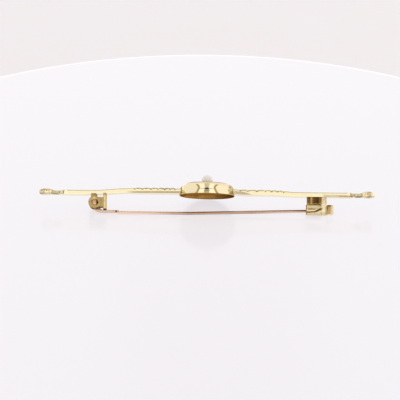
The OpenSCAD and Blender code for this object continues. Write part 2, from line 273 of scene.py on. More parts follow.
# Bar with its leaf-chased shoulders
bar = {
    "thick": 0.85, "armWide": 2.3, "shoulderWide": 3.0, "armDrop": 0.42, "sag": 0.18, "sagStart": 4,
    "taperStart": 8, "taperLength": 8, "leftDrop": (15, 22), "rightDrop": (11.5, 18),
    "waistX": 28.75, "waistThick": 0.6, "waistWide": 1.3, "neckRun": 1.5, "neckWideRun": 2,
    "rootThick": 0.759, "rootWide": 2.2, "rootRun": 1.4, "rootWideRun": 1.8,
    "buttonX": 30.65, "buttonZ": -0.19, "buttonThick": 1.15, "buttonWide": 2.7,
    "edge": 0.09, "stations": 420, "across": 10, "upright": 5,
}
leaves = {
    "left": (6.1, 7.0, 8.05, 9.3, 10.65, 12.3, 13.75),  # gaps between the leaves, outwards from the boss
    "right": (6.35, 7.75, 9.5, 11.1, 12.3, 13.4, 14.6),
    "gapWidths": (0.13, 0.18, 0.23), "gapDepths": (1, 0.78), "notch": 0.18, "notchFrom": 0.6,
    "height": 0.22, "turn": 24, "margin": 0.12, "ratio": 0.62, "filled": 0.98, "tip": 1.9, "tipBack": 0.5,
    "edgeHeight": 0.03, "vein": 0.06, "veinWide": 0.14, "pointed": 0.8, "root": 0.15, "grid": (16, 10),
}


def barMid(x):
    out = abs(x)
    sag = bar["sag"] if x > 0 else 0  # the right shoulder lies a little lower
    start, end = bar["rightDrop"] if x > 0 else bar["leftDrop"]
    drop = sag * fade(out, bar["sagStart"], bar["taperStart"] - bar["sagStart"])
    drop += (bar["armDrop"] - sag) * fade(out, start, end - start)
    rise = (bar["armDrop"] + bar["buttonZ"]) * fade(out, bar["waistX"], bar["buttonX"] - bar["waistX"])
    return rise - drop


def barThick(x):
    past = abs(x) - bar["waistX"]
    neck = (bar["waistThick"] - bar["thick"]) * fade(past, -bar["neckRun"], bar["neckRun"])
    root = (bar["rootThick"] - bar["waistThick"]) * fade(past, 0, bar["rootRun"])
    return bar["thick"] + neck + root


def barWide(x):
    out = abs(x)
    past = out - bar["waistX"]
    taper = (bar["armWide"] - bar["shoulderWide"]) * fade(out, bar["taperStart"], bar["taperLength"])
    neck = (bar["waistWide"] - bar["armWide"]) * fade(past, -bar["neckWideRun"], bar["neckWideRun"])
    root = (bar["rootWide"] - bar["waistWide"]) * fade(past, 0, bar["rootWideRun"])
    return bar["shoulderWide"] + taper + neck + root


def gapsAt(x):
    return leaves["left" if x < 0 else "right"]


def notchAt(x):
    widths, depths = leaves["gapWidths"], leaves["gapDepths"]
    return max(bump(abs(x), gap, widths[i % 3]) * depths[i % 2] for i, gap in enumerate(gapsAt(x)))


def makeBar():
    bm = bmesh.new()
    made = bmesh.ops.create_grid(bm, x_segments=bar["stations"], y_segments=bar["across"], size=0.5)
    for v in made["verts"]:
        x = v.co.x * 2 * bar["buttonX"]
        side = abs(v.co.y) * 2
        cut = leaves["notch"] * notchAt(x) * fade(side, leaves["notchFrom"], 1 - leaves["notchFrom"])
        v.co = (x, v.co.y * barWide(x), barMid(x) + barThick(x) / 2 - cut)
    under = extrudeFaces(bm, bm.faces[:])
    for v in under:
        v.co.z = barMid(v.co.x) - barThick(v.co.x) / 2
    below = set(under)
    upright = [e for e in bm.edges if len(below & set(e.verts)) == 1]
    bmesh.ops.subdivide_edges(bm, edges=upright, cuts=bar["upright"], use_grid_fill=True)
    bmesh.ops.recalc_face_normals(bm, faces=bm.faces)
    soften(bm, bm.verts, bar["edge"], angle=50)
    return bm


# Each mark is a strength with a start and a run, or with a middle and a width, in millimetres.
# Bands start from the top or the bottom of the bar.
barMarks = {
    "topBand": (-0.36, 0.22), "notchRim": (0.55, 0.3), "ground": (0.4, 0.25), "groundEnds": (0.5, 0.9),
    "flat": 0.75, "inBoss": 0.56, "bossReach": 5.2, "bossTop": -0.3, "sideBand": 0.12,
    "upperEdgeReflection": (0.28, 0.62, 0.2),
    "lowerBand": (0.36, -0.1), "leftLower": (0.42, 15.7, -2.2), "rightShoulderShade": (0.6, 9.4, -3),
    "rightLower": (0.32, -0.15), "armStart": (0.3, 22, 0.3), "armMore": (0.1, 25, 0.4),
    "armEnd": (28.0, -0.3), "armBand": (0.45, -0.2), "neckSpot": (0.75, 27.6, 0.16),
    "waistStart": (0.3, 28.0, 0.5), "waistEnd": (30.0, -0.4), "waistBand": (0.25, -0.1),
    "leftWaist": 0.45, "rightWaist": 0.9, "rootSpot": (0.75, 29.35, 0.16),
}


def fromLevel(z, level, band):
    return fade(z - level, *band)


def barSideMarks(x, z, low, normal):
    lower = fromLevel(z, low, barMarks["lowerBand"])
    marks = [spot(normal.z, barMarks["upperEdgeReflection"])]  # painted dark reflection along the upper edge
    marks.append(lower * spot(x, barMarks["neckSpot"]))
    if x < 0:
        # painted shade along the left shoulder's lower edge
        return marks + [lower * shade(-x, barMarks["leftLower"])]
    strength, run = barMarks["rightLower"]
    patch = shade(x, barMarks["rightShoulderShade"])  # painted shade that runs out along the shoulder
    marks.append(strength * fade(z, low + patch, run))
    # painted shade under the right arm, with the catch post's shadow line over it
    arm = shade(x, barMarks["armStart"]) + shade(x, barMarks["armMore"])
    marks.append(arm * fromLevel(z, low, barMarks["armBand"]) * fade(x, *barMarks["armEnd"]))
    return marks


def barPatinaAndShade(co, normal):
    x, out = co.x, abs(co.x)
    top = barMid(x) + barThick(x) / 2
    low = top - barThick(x)
    nearTop = fromLevel(co.z, top, barMarks["topBand"])
    gaps = gapsAt(x)
    before, after = barMarks["groundEnds"]
    if co.z < barMarks["bossTop"] and out < barMarks["bossReach"]:
        return barMarks["inBoss"]
    marks = [notchAt(x) * nearTop * fade(abs(co.y) * 2 / barWide(x), *barMarks["notchRim"])]
    if normal.z > barMarks["flat"] and gaps[0] - before < out < gaps[-1] + after:
        marks.append(barMarks["ground"][0 if x < 0 else 1])
    if abs(co.y) > barWide(x) / 2 - barMarks["sideBand"]:
        marks += barSideMarks(x, co.z, low, normal)
    waist = shade(out, barMarks["waistStart"]) * fade(out, *barMarks["waistEnd"])
    under = barMarks["leftWaist" if x < 0 else "rightWaist"]
    marks.append(waist + under * waist * fromLevel(co.z, low, barMarks["waistBand"]))
    marks.append(spot(out, barMarks["rootSpot"]) * nearTop)
    return -max(marks)


finishBrooch(makeBar(), "barStrip", "yellowGold", barPatinaAndShade)


def addLeaf(bm, length, place):
    along, across = leaves["grid"]
    made = bmesh.ops.create_grid(bm, x_segments=along, y_segments=across, size=1)["verts"]
    halfWide = length * leaves["ratio"] / 2
    edge = leaves["edgeHeight"]
    for v in made:
        u, w = v.co.x, v.co.y
        ridge = edge + (leaves["height"] - edge) * (1 - w * w) * math.sqrt(1 - u * u)
        vein = leaves["vein"] * bump(w, 0, leaves["veinWide"]) * (1 - u * u)
        v.co = (length / 2 * (1 + u), w * halfWide * (1 - u * u) ** leaves["pointed"], ridge - vein)
    rim = [e for e in edgesOf(made) if e.is_boundary]
    lower = vertsIn(bmesh.ops.extrude_edge_only(bm, edges=rim)["geom"])
    for v in lower:
        v.co.z = -leaves["root"]
    bmesh.ops.contextual_create(bm, geom=[e for e in edgesOf(lower) if e.is_boundary])
    bmesh.ops.transform(bm, matrix=place, verts=made + lower)


def makeLeaves():
    bm = bmesh.new()
    turn = math.radians(leaves["turn"])
    for end in (-1, 1):
        flip = Matrix.Diagonal((end, 1, 1, 1))
        gaps = gapsAt(end)
        for x, following in zip(gaps, gaps[1:]):
            length = (following - x) * leaves["filled"]
            stalkY = barWide(x + length) / 2 - length * math.sin(turn) - leaves["margin"]
            z = barMid(end * (x + length / 2)) + bar["thick"] / 2
            for side in (-1, 1):
                place = Matrix.Translation((x, side * stalkY, z)) @ Matrix.Rotation(side * turn, 4, "Z")
                addLeaf(bm, length, flip @ place)
        tipZ = barMid(end * gaps[-1]) + bar["thick"] / 2
        addLeaf(bm, leaves["tip"], flip @ Matrix.Translation((gaps[-1] - leaves["tipBack"], 0, tipZ)))
    return bm


leafMarks = {"left": (0.5, 0.09, -0.06), "right": (0.3, 0.09, -0.06)}


def leafPatina(co, normal):
    rise = co.z - barMid(co.x) - bar["thick"] / 2
    return -shade(rise, leafMarks["left" if co.x < 0 else "right"])


finishBrooch(makeLeaves(), "chasedLeaves", "yellowGold", leafPatina, sharp=50)

# Buttons at both ends
button = {
    "rim": 0.3, "steps": 72, "shoulder": (6, 62),  # shoulder in degrees, the face in shares of the halves
    "face": ((0.76, 0.50), (0.70, 0.62), (0.58, 0.84), (0.42, 0.92), (0.2, 0.98), (0, 1)),
    "ring": (0.5, 0.76, 0.06), "leftBand": (0.34, 0.3, 0.2), "leftFoot": (0.3, -0.8, 0.2),
    "leftEnd": (0.16, 30.4, 1.2), "rightSide": (0.3, 30.9, 0.5), "rightFoot": (0.2, -0.8, 0.2),
}


def makeButtons():
    bm = bmesh.new()
    radius, half, rim = bar["buttonWide"] / 2, bar["buttonThick"] / 2, button["rim"]
    outline = [(0, -half)] + arcPoints((radius - rim, rim - half), rim, -90, 0, 6)
    outline += arcPoints((radius - rim, 0), rim, *button["shoulder"], 5)
    outline += [(radius * across, half * up) for across, up in button["face"]]
    for end in (-1, 1):
        spinUpright(bm, outline, (end * bar["buttonX"], 0, bar["buttonZ"]), button["steps"])
    return bm


def buttonPatinaAndShade(co, normal):
    high = (co.z - bar["buttonZ"]) / (bar["buttonThick"] / 2)
    out = math.hypot(abs(co.x) - bar["buttonX"], co.y) / (bar["buttonWide"] / 2)
    ring = spot(out, button["ring"]) if normal.z > upward else 0.0
    # the foot marks on both sides are painted shade on each button's underside
    if co.x < 0:
        edge = spot(high, button["leftBand"]) + spot(high, button["leftFoot"])
        edge += shade(-co.x, button["leftEnd"])
    else:
        edge = spot(co.x, button["rightSide"]) + spot(high, button["rightFoot"])
    return -max(ring, edge)


finishBrooch(makeButtons(), "endButtons", "yellowGold", buttonPatinaAndShade)

# Boss: shallow crown, round shoulder and a wall that flares to its open rim
boss = {
    "rimR": 5.25, "rimZ": -0.81, "height": 2.6, "sheet": 0.4, "round": 1.5, "inset": 0.05, "crownR": 28,
    "tip": 0.4, "steps": 160, "lip": 0.05, "wallTop": 7,
    "wall": ((5.2346, -0.35), (5.2278, -0.18), (5.2198, -0.05), (5.2102, 0.05), (5.1997, 0.13)),
    "inside": ((0, 0.35), (0.05, 0.12), (0.16, 0.02)),  # outwards from the sheet and up from the rim
}
crownZ = boss["rimZ"] + boss["height"]


def bossOutline(inset):
    shoulderR = boss["rimR"] - boss["inset"] - boss["round"]
    reach = boss["crownR"] - boss["round"]
    shoulderZ = crownZ - boss["crownR"] + math.sqrt(reach ** 2 - shoulderR ** 2)
    turn = math.degrees(math.asin(shoulderR / reach))
    first = 0 if inset else boss["wallTop"]
    points = [] if inset else list(boss["wall"])
    points += arcPoints((shoulderR, shoulderZ), boss["round"] - inset, first, 90 - turn, 18)
    crown = arcPoints((0, crownZ - boss["crownR"]), boss["crownR"] - inset, 90 - turn, 90, 6)
    return points + crown[1:-1] + [(0, crownZ - inset)]


def makeBoss():
    bm = bmesh.new()
    outer, inner = bossOutline(0), bossOutline(boss["sheet"])
    lip = arcPoints((boss["rimR"] - boss["lip"], boss["rimZ"] + boss["lip"]), boss["lip"], -90, 0, 4)
    inside = [(boss["rimR"] - boss["sheet"] + out, boss["rimZ"] + up) for out, up in boss["inside"]]
    outline = list(reversed(inner)) + inside + lip + outer
    spinUpright(bm, outline, (0, 0, 0), boss["steps"])
    bmesh.ops.remove_doubles(bm, verts=bm.verts, dist=mergeGap)
    bmesh.ops.rotate(bm, verts=bm.verts, cent=(0, 0, 0),
                     matrix=Matrix.Rotation(math.radians(boss["tip"]), 3, "Y"))
    return bm


insideMarks = {"base": 0.57, "right": (0.14, 0.5, 3), "low": (-0.12, -0.3), "lowLeft": (0.07, -4, 0.5),
               "lowRight": (0.13, -1.2, 1.2), "shine": (0.08, 4.4, 0.4)}
bossMarks = {
    "line": 0.75, "lineLeft": (0.35, -3, 2), "lineRight": (0.2, 1, 2), "lineAt": (1, -0.985, 0.06),
    "lineRing": (2.8, 0.6), "lineNear": (-0.2, -0.5), "upperEdge": (0, 0.115, -0.993),
    "leftStrip": (0.42, -4.95, 0.24), "leftRim": (0.5, -5.05, -0.15), "rightSide": (0.30, 4.05, 0.35),
    "patches": ((0.6, -4.95, 0.35, 0.25, 1.25), (0.55, 4.4, 0.57, 0.24, 1), (0.5, 4.25, -0.03, 0.22, 1)),
    "cameraReflection": 0.4, "cameraReflectionX": 0.02, "cameraReflectionSide": (0.6, -0.15), "cameraReflectionTop": (-0.22, -0.1),
    "lowLeft": (0.06, 1, -2), "low": (-0.3, -0.3), "inward": -0.05, "downward": -0.35,
}


# Inside the boss: amber, with painted shade growing towards the right, darker low down, and a painted
# highlight near the right end
def insideTone(x, z):
    low = shade(x, insideMarks["lowLeft"]) + shade(x, insideMarks["lowRight"])
    return (insideMarks["base"] + shade(x, insideMarks["right"]) + low * fade(z, *insideMarks["low"])
            - spot(x, insideMarks["shine"]))


def bossPatinaAndShade(co, normal):
    x, y, z = co
    out = Vector((x, y, 0))
    if normal.dot(out) < bossMarks["inward"] * out.length or normal.z < bossMarks["downward"]:
        return insideTone(x, z)
    line = bossMarks["line"] - shade(x, bossMarks["lineLeft"]) + shade(x, bossMarks["lineRight"])
    near = fade(out.length, *bossMarks["lineRing"]) * fade(y, *bossMarks["lineNear"])
    edge = normal.dot(Vector(bossMarks["upperEdge"]))  # the upper outline as the camera sees it, where a painted dark reflection runs
    marks = [line * near * spot(edge, bossMarks["lineAt"])]
    marks.append(spot(x, bossMarks["leftStrip"]))
    marks.append(max(shade(x, bossMarks["leftRim"]), shade(x, bossMarks["rightSide"])))
    for strength, patchX, patchZ, size, tall in bossMarks["patches"]:
        marks.append(strength * bump(math.hypot(x - patchX, (z - patchZ) / tall), 0, size))
    cameraReflection = bossMarks["cameraReflection"] * fade(abs(x - bossMarks["cameraReflectionX"]), *bossMarks["cameraReflectionSide"])
    marks.append(cameraReflection * fade(z, *bossMarks["cameraReflectionTop"]) * ease(-y))  # painted dark reflection of the camera on the near wall
    marks.append(shade(x, bossMarks["lowLeft"]) * fade(z, *bossMarks["low"]))
    return -max(marks)


finishBrooch(makeBoss(), "domedBoss", "bossGold", bossPatinaAndShade)

# Pearl on its cup and peg
pearl = {"radius": 1.04, "z": 2.22, "gap": 0.03, "cupR": 1.2, "cupTop": 0.1, "cupEnd": 0.9, "edge": 0.03,
         "cupPatina": -0.2, "around": 64, "rings": 40}


def makePearl():
    bm = bmesh.new()
    bmesh.ops.create_uvsphere(bm, u_segments=pearl["around"], v_segments=pearl["rings"],
                              radius=pearl["radius"], matrix=Matrix.Translation((0, 0, pearl["z"])))
    return bm


def makeCup():
    bm = bmesh.new()
    bowlR, top, edge = pearl["radius"] + pearl["gap"], crownZ + pearl["cupTop"], pearl["edge"]
    rim = math.degrees(math.asin((top - edge - pearl["z"]) / bowlR))
    outline = arcPoints((0, pearl["z"]), bowlR, -90, rim, 14)
    outline += [(outline[-1][0] + edge, top)]
    outline += arcPoints((pearl["cupR"] - edge, top - edge), edge, 90, 0, 3)
    outline += [(pearl["cupR"], crownZ - pearl["cupEnd"]), (0, crownZ - pearl["cupEnd"])]
    spinUpright(bm, outline, (0, 0, 0))
    return bm


def cupPatina(co, normal):
    return pearl["cupPatina"] if normal.z > upward else 0.0


finishPiece(makePearl(), "roundPearl", "brooch", nacre("nacre"), None, ["pearl"])
finishBrooch(makeCup(), "pearlCup", "bossGold", cupPatina)

# Hinge: two knuckles with necks and webs, and the stop plate
hinge = {
    "x": -21.35, "z": -2.32, "radius": 1.2, "half": 1.5115, "innerY": 0.56, "wall": 0.7, "bore": 0.54,
    "sink": 0.62, "chamfer": 0.12, "faceRings": (0.65, 0.75, 0.85, 0.95, 1.05), "edge": 0.05,
    "neck": ((-0.7, 0.9), (0.3, 1.72)), "web": ((0.6, -0.85), (1.7, 1)),  # two corners each, from the rivet
    "plateX": -19.75, "plateThick": 0.6, "plateWide": 2.4, "plateEnd": -3.62, "plateTop": -0.5,
    "plateLoops": (0.1, 0.18, 0.38), "plateBands": (-3.37, -1.1), "plateEdge": 0.07,
}


def addKnuckle(bm, radius, fromY, toY, sink=0.0):
    bore, edge = hinge["bore"], hinge["edge"]
    outline = [(bore, fromY)]
    if sink:
        outline += [(bore, toY - hinge["chamfer"]), (sink, toY)]
    else:
        outline += [(bore, toY)]
    outline += [(ring, toY) for ring in hinge["faceRings"] if ring > max(sink, bore) + 0.02]
    outline += arcPoints((radius - edge, toY - edge), edge, 90, 0, 4)
    outline += arcPoints((radius - edge, fromY + edge), edge, 0, -90, 4)
    spinProfile(bm, [(hinge["x"] + r, y, hinge["z"]) for r, y in outline],
                (hinge["x"], 0, hinge["z"]), (0, 1, 0), closed=True)


def makeHinge():
    bm = bmesh.new()
    x, z = hinge["x"], hinge["z"]
    addKnuckle(bm, hinge["radius"], hinge["innerY"], hinge["half"], hinge["sink"])
    near = bmesh.ops.duplicate(bm, geom=bm.verts[:] + bm.edges[:] + bm.faces[:])["geom"]
    bmesh.ops.scale(bm, vec=(1, -1, 1), verts=vertsIn(near))
    for side in (-1, 1):
        low, high = sorted((side * hinge["innerY"], side * (hinge["innerY"] + hinge["wall"])))
        for (left, bottom), (right, top) in (hinge["neck"], hinge["web"]):
            addBox(bm, (x + left, low, z + bottom), (x + right, high, z + top), hinge["edge"])
    return bm


hingeMarks = {  # across and up are measured from the rivet
    "base": 0.32, "neck": 0.2, "neckUp": 1.25, "rim": (0.42, 0.95, 0.15), "rimLeft": (-0.1, -0.4),
    "sinkBase": 0.35, "sinkRight": (0.6, 0.2, 0.25), "pit": (0.5, -0.88, 0.1, 0.2),
    "top": (0.55, -1.0, 0.2), "topRight": (-0.1, 0.3), "between": 0.8, "web": 0.32, "webFrom": 0.62,
    "foot": 0.42, "footSpot": (0.35, 0.45, 0.2), "footRing": 1.1, "footLow": (-0.85, -0.15),
    "shine": 0.32, "shineAt": (-0.12, 0.74), "shineWide": 1.6, "shineR": 0.2,
    "over": 0.03, "plateGap": 0.05,
}


def hingePatinaAndShade(co, normal):
    across, up = co.x - hinge["x"], co.z - hinge["z"]
    ring = math.hypot(across, up)
    if ring < hinge["sink"] + hingeMarks["over"]:
        # the right side of the sink around the rivet carries painted shade
        marks = [hingeMarks["sinkBase"] + shade(across, hingeMarks["sinkRight"])]
    else:
        marks = [hingeMarks["base"] if up < hingeMarks["neckUp"] else hingeMarks["neck"]]
        marks.append(shade(ring, hingeMarks["rim"]) * fade(across, *hingeMarks["rimLeft"]))
    strength, pitX, pitZ, pitR = hingeMarks["pit"]
    marks.append(strength * bump(math.hypot(across - pitX, up - pitZ), 0, pitR))
    # painted shadow in the gap under the bar, right of the rivet
    marks.append(shade(co.z, hingeMarks["top"]) * fade(across, *hingeMarks["topRight"]))
    # painted shade between the knuckles
    if abs(co.y) < hinge["innerY"] + hingeMarks["over"] and co.x < hinge["plateX"] - hingeMarks["plateGap"]:
        marks.append(hingeMarks["between"])
    if across > hingeMarks["webFrom"]:
        marks.append(hingeMarks["web"])
    elif ring > hingeMarks["footRing"]:
        foot = hingeMarks["foot"] + spot(across, hingeMarks["footSpot"])
        marks.append(foot * fade(up, *hingeMarks["footLow"]))
    shineX, shineZ = hingeMarks["shineAt"]
    apart = math.hypot((across - shineX) / hingeMarks["shineWide"], up - shineZ)
    return max(0.0, max(marks) - hingeMarks["shine"] * bump(apart, 0, hingeMarks["shineR"]))


def makeStopPlate():
    bm = bmesh.new()
    x, half = hinge["plateX"], hinge["plateWide"] / 2
    addBox(bm, (x, -half, hinge["plateEnd"]), (x + hinge["plateThick"], half, hinge["plateTop"]),
           hinge["plateEdge"], segments=4)
    addLoops(bm, set(), 2, hinge["plateBands"])
    addLoops(bm, set(), 0, [x + step for step in hinge["plateLoops"]])
    return bm


plateMarks = {"end": (0.75, 0.14, -0.12), "left": (0.3, 0.16, -0.12), "right": (0.16, 0.36, 0.1),
              "top": (0.35, -0.95, 0.15)}


def platePatinaAndShade(co, normal):
    across = co.x - hinge["plateX"]
    # the bottom end carries a painted shadow where the plate meets the pin's heel
    return max(shade(co.z - hinge["plateEnd"], plateMarks["end"]), shade(across, plateMarks["left"]),
               shade(across, plateMarks["right"]), shade(co.z, plateMarks["top"]))


finishBrooch(makeHinge(), "hingeBlock", "hingeGold", hingePatinaAndShade)
finishBrooch(makeStopPlate(), "stopPlate", "hingeGold", platePatinaAndShade)

rivet = {
    "radius": 0.5, "half": 1.4515, "dome": 0.1,
    "head": ((0, 0), (0.25, 0.04), (0.5, 0.14), (0.75, 0.3), (0.9, 0.42), (1.02, 0.55), (1.06, 0.7),
             (1.04, 0.85), (1, 1.3), (1, 1.6)),  # shares of the radius, and of the dome down from its top
    "right": (0.95, 0.22, 0.2), "left": (0.3, -0.28, -0.2),
}


def makeRivet():
    bm = bmesh.new()
    end = [(rivet["radius"] * out, rivet["half"] - rivet["dome"] * down) for out, down in rivet["head"]]
    outline = end + [(r, -y) for r, y in reversed(end)]
    spinProfile(bm, [(hinge["x"] + r, y, hinge["z"]) for r, y in outline],
                (hinge["x"], 0, hinge["z"]), (0, 1, 0), 64)
    return bm


def rivetPatinaAndShade(co, normal):
    across = co.x - hinge["x"]
    # a crescent of painted shade darkens the rivet's right side
    return max(shade(across, rivet["right"]), shade(across, rivet["left"]))


finishPiece(makeRivet(), "hingeRivet", "brooch", metals["rivetGold"], rivetPatinaAndShade,
            ["hinge_rivet"])
print("hinge made")

# Pin: knuckle, tang, flat heel and round stem
pin = {
    "width": 0.9, "knuckleR": 1.15, "heelTop": -3.7, "heelThick": 0.5, "heelEnd": -16.8, "edge": 0.07,
    "z": -4.14, "stemStart": -17.0, "heelR": 0.32, "stemR": 0.28, "taper": 9,
    "straight": (-6.5, -5.0, -4.0), "bendX": -3.4, "bend": 1.64, "bendStep": 0.2, "bendRise": 0.0015,
    "bendEnd": 0.5,
    "rise": 22.2, "point": 2.75, "pointR": 0.08, "pointRings": (0.25, 0.5, 0.75, 0.92, 0.98), "tipR": 0.032,
    "holeX": -17.27, "holeR": 0.16, "holeDeep": 0.2, "holeEdge": 0.02, "around": 40,
}


def alongRise(distance):
    slope = math.radians(pin["bend"])
    return pin["bendX"] + distance * math.cos(slope), pin["z"] + distance * math.sin(slope)


def stemStations():  # x, z, radius and tilt of each ring
    rings = []
    for i in range(7):
        radius = pin["heelR"] + (pin["stemR"] - pin["heelR"]) * i / 6
        rings.append((pin["stemStart"] + pin["taper"] * i / 6, pin["z"], radius, 0))
    rings += [(x, pin["z"], pin["stemR"], 0) for x in pin["straight"]]
    for i in range(1, 4):  # the slight upward bend
        x, z = pin["bendX"] + pin["bendStep"] * (i - 2), pin["z"] + pin["bendRise"] * i
        rings.append((x, z, pin["stemR"], pin["bend"] * i / 4))
    first = pin["bendEnd"]
    for i in range(10):
        rings.append((*alongRise(first + (pin["rise"] - first) * i / 9), pin["stemR"], pin["bend"]))
    for share in pin["pointRings"]:
        radius = pin["pointR"] + (pin["stemR"] - pin["pointR"]) * (1 - share)
        rings.append((*alongRise(pin["rise"] + pin["point"] * share), radius, pin["bend"]))
    return rings + [(*alongRise(pin["rise"] + pin["point"]), pin["tipR"], pin["bend"])]


def addStem(bm):
    loop, previous = None, None
    for x, z, radius, tilt in stemStations():
        place = Matrix.Translation((x, 0, z)) @ Matrix.Rotation(math.radians(90 - tilt), 4, "Y")
        if loop is None:
            first = bmesh.ops.create_circle(bm, cap_ends=True, segments=pin["around"], radius=radius,
                                            matrix=place)
            loop = edgesOf(first["verts"])
        else:
            grown = bmesh.ops.extrude_edge_only(bm, edges=loop)["geom"]
            step = place @ Matrix.Scale(radius / previous[1], 4) @ previous[0].inverted()
            bmesh.ops.transform(bm, matrix=step, verts=vertsIn(grown))
            loop = [g for g in grown if isinstance(g, bmesh.types.BMEdge)]
        previous = (place, radius)
    bmesh.ops.contextual_create(bm, geom=loop)


def makeHole(bm):  # the small solder hole in both sides of the heel
    x, z, r = pin["holeX"], pin["heelTop"] - pin["heelThick"] / 2, pin["holeR"]
    addLoops(bm, set(), 0, (x - r, x + r))
    addLoops(bm, set(), 2, (z - r, z + r))
    bm.normal_update()
    for side in (-1, 1):
        middle = Vector((x, side * pin["width"] / 2, z))
        pit = min(bm.faces, key=lambda f: (f.calc_center_median() - middle).length)
        bevel(bm, pit.verts[:], r / 2, 2, affect="VERTICES")
        bm.normal_update()
        pit = min(bm.faces, key=lambda f: (f.calc_center_median() - middle).length)
        bmesh.ops.inset_individual(bm, faces=[pit], thickness=pin["holeEdge"], depth=-pin["holeDeep"])


def makePin():
    bm = bmesh.new()
    x, z, top = hinge["x"], hinge["z"], pin["heelTop"]
    half = pin["width"] / 2
    bottom = top - pin["heelThick"]
    tangBack = [(x - 0.3, z - 0.9), (x - 0.15, top + 0.08), (x + 0.1, top - 0.15), (x + 0.5, bottom + 0.19),
                (x + 0.9, bottom + 0.06), (x + 1.5, bottom)]
    tangFront = [(x + 1.5, top), (x + 1.2, top + 0.12), (x + 0.95, top + 0.35), (x + 0.75, z - 0.5)]
    outline = tangBack + [(pin["heelEnd"], bottom), (pin["heelEnd"], top)] + tangFront
    face = bm.faces.new([bm.verts.new((px, -half, pz)) for px, pz in outline])
    bmesh.ops.translate(bm, vec=(0, pin["width"], 0), verts=extrudeFaces(bm, [face]))
    bmesh.ops.recalc_face_normals(bm, faces=bm.faces)
    soften(bm, bm.verts, pin["edge"], angle=40)
    makeHole(bm)
    addKnuckle(bm, pin["knuckleR"], -half, half)
    addStem(bm)
    return bm


pinMarks = {"tang": (0.75, -0.02, 0.25), "middle": (0.36, -14, 11), "middleEnd": (0.75, 8, 9),
            "seam": (0.45, 0.02, 0.12), "heel": (0.16, -17.05, -0.1), "hole": 1.0}


def pinPatinaAndShade(co, normal):
    # the tang under the hinge carries painted shade
    marks = [shade(co.z - pin["heelTop"], pinMarks["tang"])]
    marks.append(shade(co.x, pinMarks["middle"]) * (1 - shade(co.x, pinMarks["middleEnd"])))
    marks.append(spot(co.x - pin["heelEnd"], pinMarks["seam"]))
    marks.append(shade(co.x, pinMarks["heel"]))
    if abs(co.x - pin["holeX"]) < pin["holeR"] and abs(co.y) < pin["width"] / 2 - 0.1:
        marks.append(pinMarks["hole"])
    return max(marks)


finishPiece(makePin(), "pinAndHeel", "pin", metals["roseGold"], pinPatinaAndShade, ["pin"])
print("pin made")

# Catch: back plate, end post and the roll with its slot
catch = {
    "x": 19.05, "z": -3.22, "radius": 1.13, "wall": 0.25, "roll": 2.65, "postThick": 1.1, "mouth": 0.4,
    "slot": 0.27, "slotGrows": (0.12, 20.6, 0.6), "top": -0.5, "edge": 0.05, "postEdge": 0.08,
    "overlap": 0.1, "plateSunk": 0.06, "around": 72, "postLoops": (0.15, 0.25, 0.38, 0.75, 0.88),
    "postBands": (0.12, 0.25, 0.4, 0.9, 1.0, 1.1, 1.2),
    "plateLoops": (19.3, 19.5, 19.65, 19.8, 19.93, 20.06, 20.2, 20.4, 21.2, 21.35, 21.5),
    "plateBands": (1.2, 1.45),
}
postX = catch["x"] + catch["roll"]
# x, and height above the middle of the roll, of the lip over the slot
lipLine = [(catch["x"] - 1, -0.44), (catch["x"] + 1.5, -0.34), (postX - 0.15, 0.2), (postX + 1, 0.2)]


def lipHeight(x):
    for (x0, z0), (x1, z1) in zip(lipLine, lipLine[1:]):
        if x <= x1:
            return z0 + (z1 - z0) * (x - x0) / (x1 - x0)
    return lipLine[-1][1]


def slotFoot(x):
    return lipHeight(x) - catch["slot"] - shade(x, catch["slotGrows"])


def frontAngle(height, radius):
    return 180 - math.degrees(math.asin(max(-1, min(1, height / radius))))


def mouthAngle(mouth, radius):
    return math.degrees(math.acos(mouth / radius))


def addRollPart(bm, startAngle, endAngle, fromX, toX, outer, inner, across, around, edge):
    made = bmesh.ops.create_grid(bm, x_segments=across, y_segments=around, size=0.5)["verts"]
    for v in made:
        x = fromX + (toX - fromX) * (v.co.x + 0.5)
        first, last = startAngle(x), endAngle(x)
        a = math.radians(first + (last - first) * (v.co.y + 0.5))
        v.co = (x, outer * math.cos(a), outer * math.sin(a))
    verts = extrudeFaces(bm, facesOf(made))
    bmesh.ops.scale(bm, vec=(1, inner / outer, inner / outer), verts=verts)
    every = cornersOf(facesOf(made + verts))
    bmesh.ops.translate(bm, vec=(0, 0, catch["z"]), verts=every)
    bmesh.ops.recalc_face_normals(bm, faces=facesOf(every))
    soften(bm, every, edge, segments=2, angle=60)


def addPost(bm, fromX, toX, outer, inner, top):
    turn = Matrix.Rotation(math.pi / 2, 4, "Y")
    rims = [bmesh.ops.create_circle(bm, cap_ends=False, segments=catch["around"], radius=radius,
                                    matrix=turn)["verts"] for radius in (outer, inner)]
    ring = bmesh.ops.bridge_loops(bm, edges=edgesOf(rims[0]) + edgesOf(rims[1]))["faces"]
    for v in rims[0]:
        if v.co.z > 0.001:
            v.co.z = top - catch["z"]
    verts = extrudeFaces(bm, ring)
    bmesh.ops.translate(bm, vec=(toX - fromX, 0, 0), verts=verts)
    every = rims[0] + rims[1] + verts
    bmesh.ops.translate(bm, vec=(fromX, 0, catch["z"]), verts=every)
    bmesh.ops.recalc_face_normals(bm, faces=facesOf(every))
    soften(bm, every, catch["postEdge"], angle=60)


